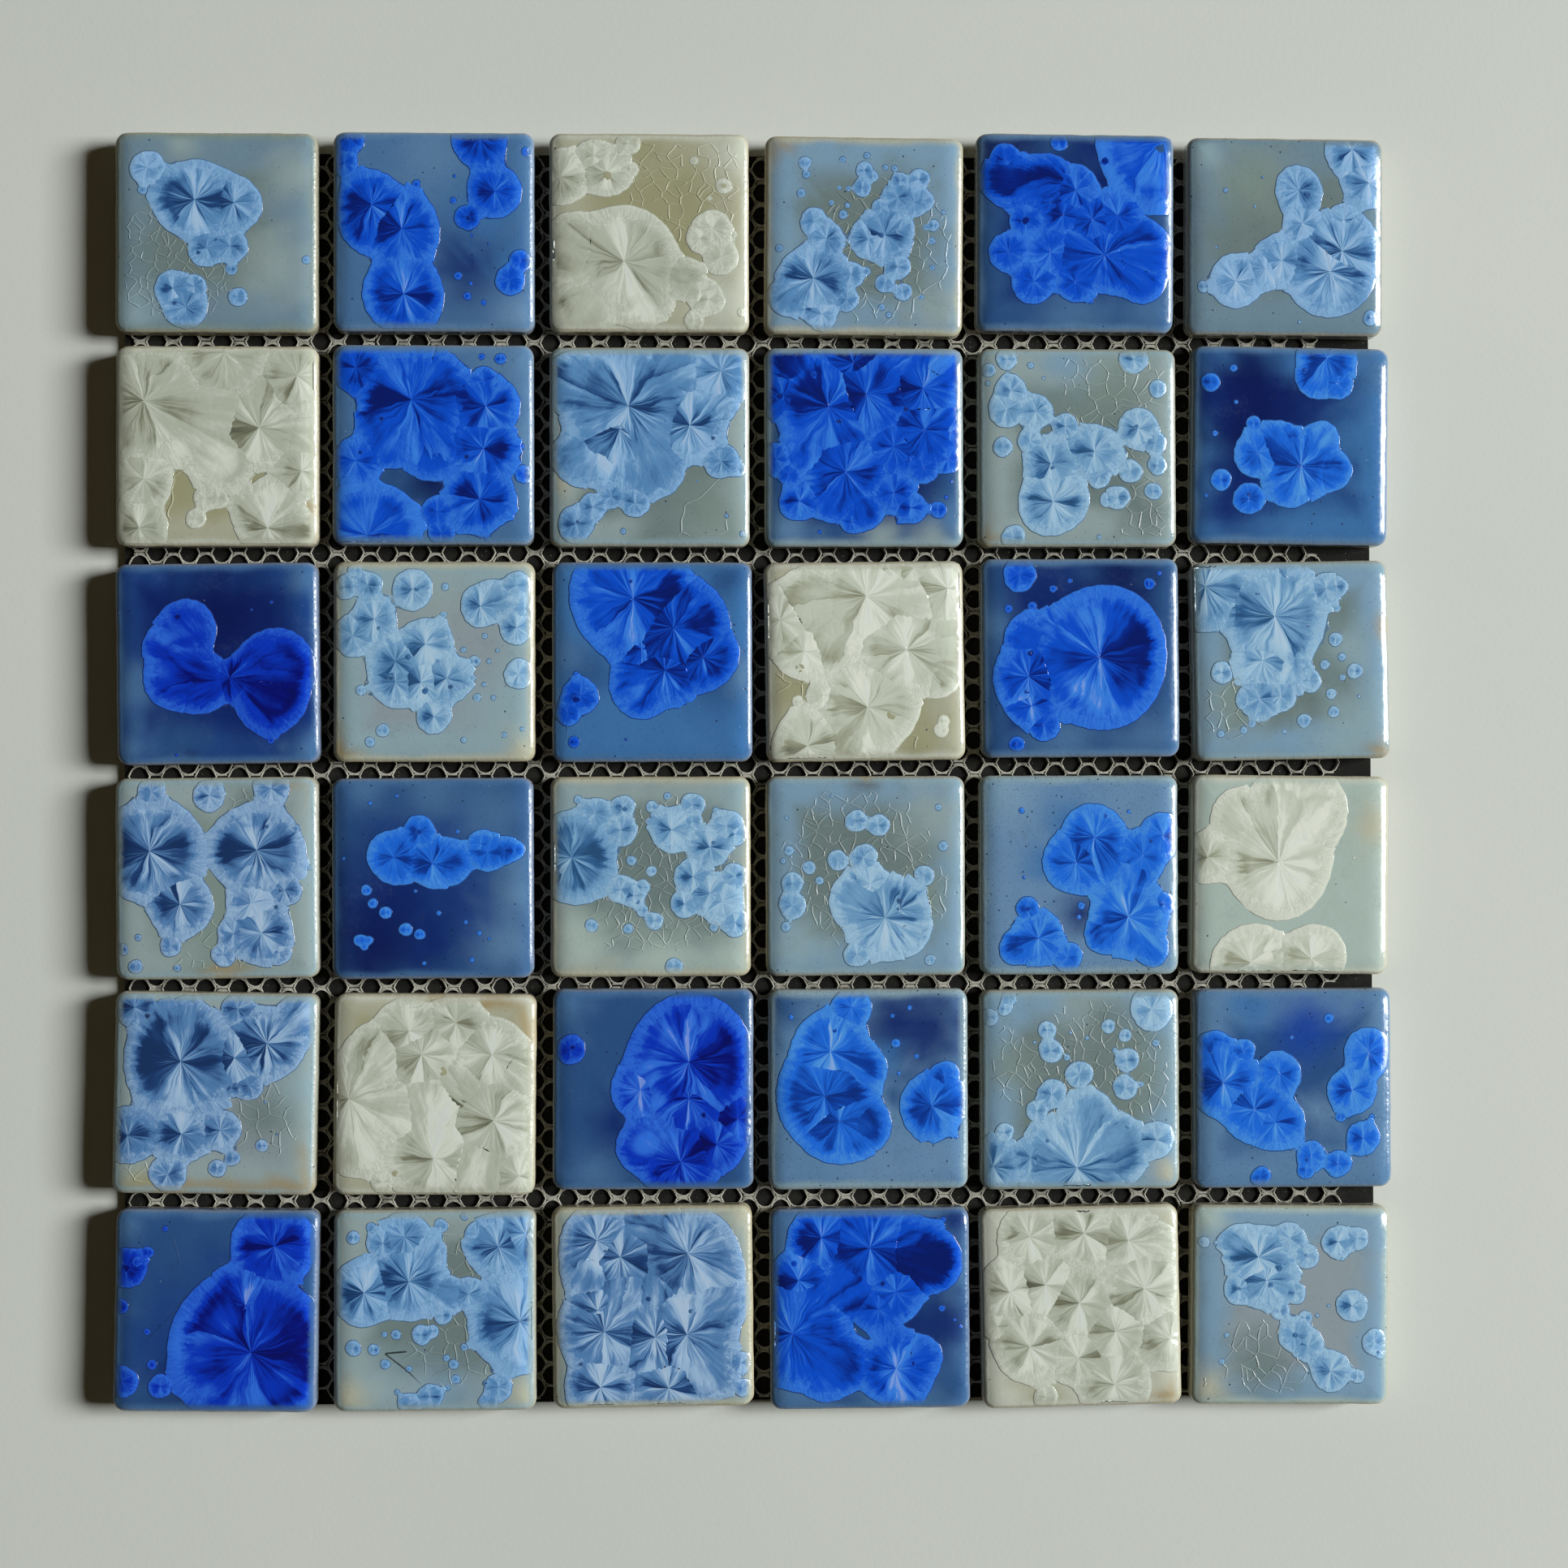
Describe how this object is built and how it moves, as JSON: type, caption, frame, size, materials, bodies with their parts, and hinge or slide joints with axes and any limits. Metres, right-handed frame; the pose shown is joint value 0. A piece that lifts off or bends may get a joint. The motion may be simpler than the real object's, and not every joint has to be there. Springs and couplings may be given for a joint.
{
  "type": "ceramic tile mosaic sheet",
  "caption": "Flat square sheet of small crystal-glazed ceramic tiles with open grout joints, on a knitted net and a thin rubber backing sheet.",
  "frame": {"origin": "under the middle of the sheet, on the underside of the backing sheet", "axes": "+Z out of the glazed faces, +X and +Y along the grout joints"},
  "size_m": [0.3038, 0.304, 0.0086],
  "materials": {
    "cobalt_glaze": "glossy crystalline glaze, deep blue",
    "celadon_glaze": "glossy crystalline glaze, grey with sky-blue crystals",
    "ivory_glaze": "glossy crystalline glaze, khaki with off-white crystals",
    "net_yarn": "knitted hexagonal net, off-white yarn",
    "black_rubber": "matt black, fine grain"
  },
  "bodies": {
    "root": {"backing_sheet": "black_rubber", "net": "net_yarn", "tile_r1_c1": "celadon_glaze", "tile_r1_c2": "cobalt_glaze", "tile_r1_c3": "ivory_glaze", "tile_r1_c4": "celadon_glaze", "tile_r1_c5": "cobalt_glaze", "tile_r1_c6": "celadon_glaze", "tile_r2_c1": "ivory_glaze", "tile_r2_c2": "cobalt_glaze", "tile_r2_c3": "celadon_glaze", "tile_r2_c4": "cobalt_glaze", "tile_r2_c5": "celadon_glaze", "tile_r2_c6": "cobalt_glaze", "tile_r3_c1": "cobalt_glaze", "tile_r3_c2": "celadon_glaze", "tile_r3_c3": "cobalt_glaze", "tile_r3_c4": "ivory_glaze", "tile_r3_c5": "cobalt_glaze", "tile_r3_c6": "celadon_glaze", "tile_r4_c1": "celadon_glaze", "tile_r4_c2": "cobalt_glaze", "tile_r4_c3": "celadon_glaze", "tile_r4_c4": "celadon_glaze", "tile_r4_c5": "cobalt_glaze", "tile_r4_c6": "ivory_glaze", "tile_r5_c1": "celadon_glaze", "tile_r5_c2": "ivory_glaze", "tile_r5_c3": "cobalt_glaze", "tile_r5_c4": "cobalt_glaze", "tile_r5_c5": "celadon_glaze", "tile_r5_c6": "cobalt_glaze", "tile_r6_c1": "cobalt_glaze", "tile_r6_c2": "celadon_glaze", "tile_r6_c3": "celadon_glaze", "tile_r6_c4": "cobalt_glaze", "tile_r6_c5": "ivory_glaze", "tile_r6_c6": "celadon_glaze"}
  },
  "joints": []
}
